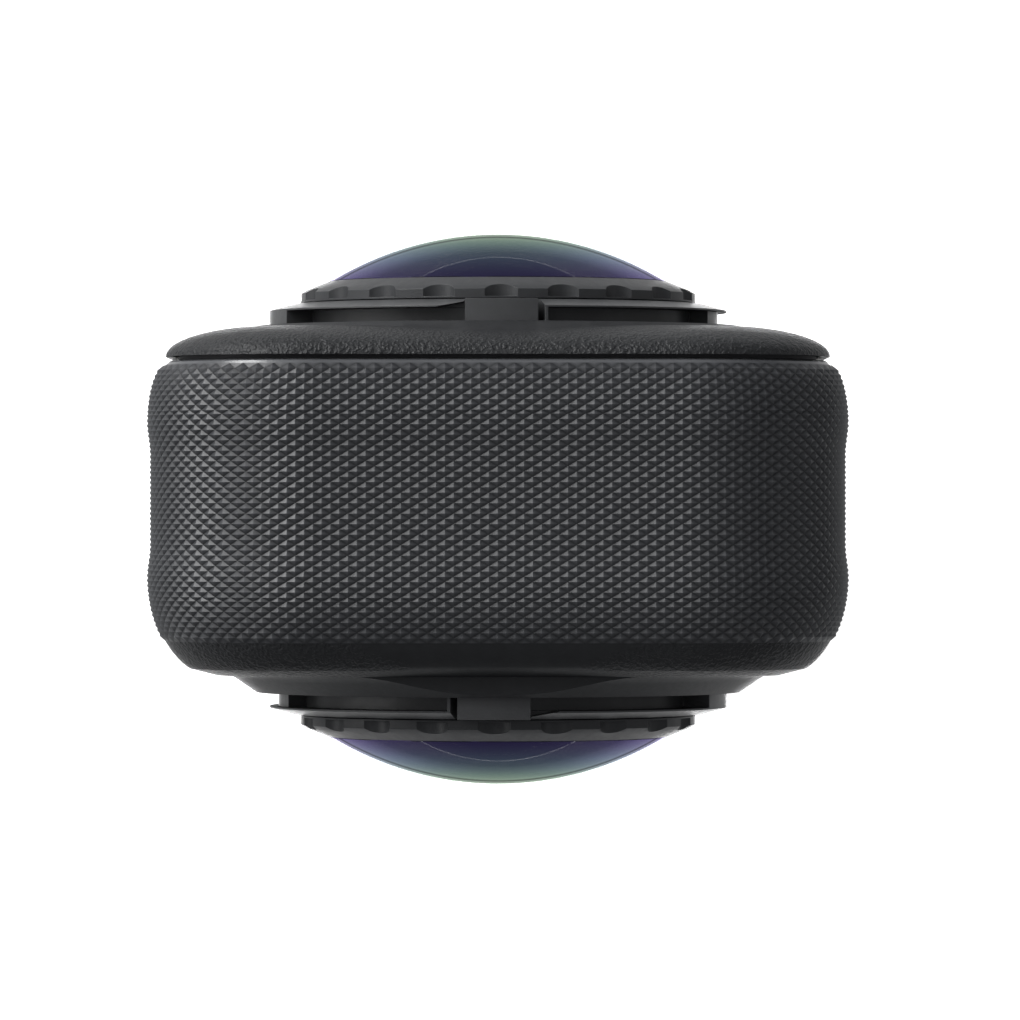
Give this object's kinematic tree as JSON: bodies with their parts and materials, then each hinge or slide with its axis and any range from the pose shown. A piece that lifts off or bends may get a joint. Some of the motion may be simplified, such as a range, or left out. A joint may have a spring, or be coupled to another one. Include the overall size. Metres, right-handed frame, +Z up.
{
  "type": "360 degree camera",
  "caption": "Pocket camera with a domed lens near the top of each broad face, a knurled side band, a rear touch screen, side battery and a tripod thread in its base.",
  "frame": {"origin": "middle of the base that the camera stands on, midway between the two lenses", "axes": "+Z up the body, +Y out of the screen face, +X to the side with the buttons and the port"},
  "size_m": [0.046, 0.0372, 0.114],
  "materials": {
    "knurled_band": "knurled glass-filled plastic",
    "grained_cover": "pebble-grained plastic",
    "seal_rubber": "moulded silicone",
    "chassis_alloy": "die-cast",
    "screw_steel": "plain",
    "insert_steel": "machined",
    "circuit_board": "solder mask",
    "black_plastic": "moulded",
    "tinned_steel": "tinned",
    "copper_sheet": "rolled",
    "contact_brass": "plated",
    "screen_glass": "polished black glass",
    "light_pipe": "diffusing",
    "button_plastic": "satin",
    "bayonet_plastic": "moulded satin",
    "ring_alloy": "satin anodised look",
    "coated_glass": "anti-reflection coated",
    "barrel_black": "matt black",
    "lens_glass": "polished, coated",
    "sensor_chip": "chip under cover glass"
  },
  "bodies": {
    "camera_body": {"mid_frame": "knurled_band", "rear_cover": "grained_cover", "front_cover": "grained_cover", "rear_cover_gasket": "seal_rubber", "front_cover_gasket": "seal_rubber", "inner_chassis": "chassis_alloy", "chassis_screws": "screw_steel", "tripod_insert": "insert_steel", "main_board": "circuit_board", "processor": "black_plastic", "processor_shield": "tinned_steel", "heat_spreader": "copper_sheet", "card_socket": "tinned_steel", "usb_port": "tinned_steel", "battery_contacts": "contact_brass", "display_panel": "black_plastic", "screen_glass": "screen_glass", "speaker": "black_plastic", "microphones": "tinned_steel", "antenna": "contact_brass", "status_light": "light_pipe", "side_switches": "black_plastic", "rear_switches": "black_plastic", "usb_door_pin": "screw_steel", "front_lens_base": "bayonet_plastic", "front_lens_base_screws": "screw_steel", "front_lens_barrel": "barrel_black", "front_second_element": "lens_glass", "front_third_element": "lens_glass", "front_rear_element": "lens_glass", "front_image_sensor": "sensor_chip", "front_sensor_board": "circuit_board", "rear_lens_base": "bayonet_plastic", "rear_lens_base_screws": "screw_steel", "rear_lens_barrel": "barrel_black", "rear_second_element": "lens_glass", "rear_third_element": "lens_glass", "rear_rear_element": "lens_glass", "rear_image_sensor": "sensor_chip", "rear_sensor_board": "circuit_board"},
    "front_lens": {"front_lens_ring": "ring_alloy", "front_lens_dome": "coated_glass", "front_dome_seal": "seal_rubber"},
    "rear_lens": {"rear_lens_ring": "ring_alloy", "rear_lens_dome": "coated_glass", "rear_dome_seal": "seal_rubber"},
    "power_button": {"power_button": "button_plastic"},
    "quick_button": {"quick_button": "button_plastic"},
    "shutter_button": {"shutter_button": "button_plastic"},
    "lens_select_button": {"lens_select_button": "button_plastic"},
    "port_door": {"usb_door": "knurled_band", "usb_door_gasket": "seal_rubber"},
    "battery": {"battery_pack": "black_plastic", "battery_cover": "knurled_band", "battery_gasket": "seal_rubber"},
    "latch": {"battery_latch": "button_plastic"}
  },
  "joints": [
    {"name": "front_lens_twist", "type": "hinge", "parent": "camera_body", "child": "front_lens", "pos_m": [0, -0.0138, 0.093], "axis": [0, -1, 0], "range_deg": [0, 25]},
    {"name": "rear_lens_twist", "type": "hinge", "parent": "camera_body", "child": "rear_lens", "pos_m": [0, 0.0138, 0.093], "axis": [0, 1, 0], "range_deg": [0, 25]},
    {"name": "power_press", "type": "slide", "parent": "camera_body", "child": "power_button", "axis": [-1, 0, 0], "range_m": [0, 0.0004], "stiffness_N_per_m": 1500},
    {"name": "quick_press", "type": "slide", "parent": "camera_body", "child": "quick_button", "axis": [-1, 0, 0], "range_m": [0, 0.0004], "stiffness_N_per_m": 1500},
    {"name": "shutter_press", "type": "slide", "parent": "camera_body", "child": "shutter_button", "axis": [0, -1, 0], "range_m": [0, 0.0004], "stiffness_N_per_m": 1500},
    {"name": "lens_select_press", "type": "slide", "parent": "camera_body", "child": "lens_select_button", "axis": [0, -1, 0], "range_m": [0, 0.0004], "stiffness_N_per_m": 1500},
    {"name": "port_door_swing", "type": "hinge", "parent": "camera_body", "child": "port_door", "pos_m": [0.022, 0.00335, 0.01235], "axis": [0, 1, 0], "range_deg": [0, 90]},
    {"name": "battery_slide", "type": "slide", "parent": "camera_body", "child": "battery", "axis": [-1, 0, 0], "range_m": [0, 0.04]},
    {"name": "battery_latch_slide", "type": "slide", "parent": "battery", "child": "latch", "axis": [0, 0, 1], "range_m": [0, 0.0016]}
  ]
}
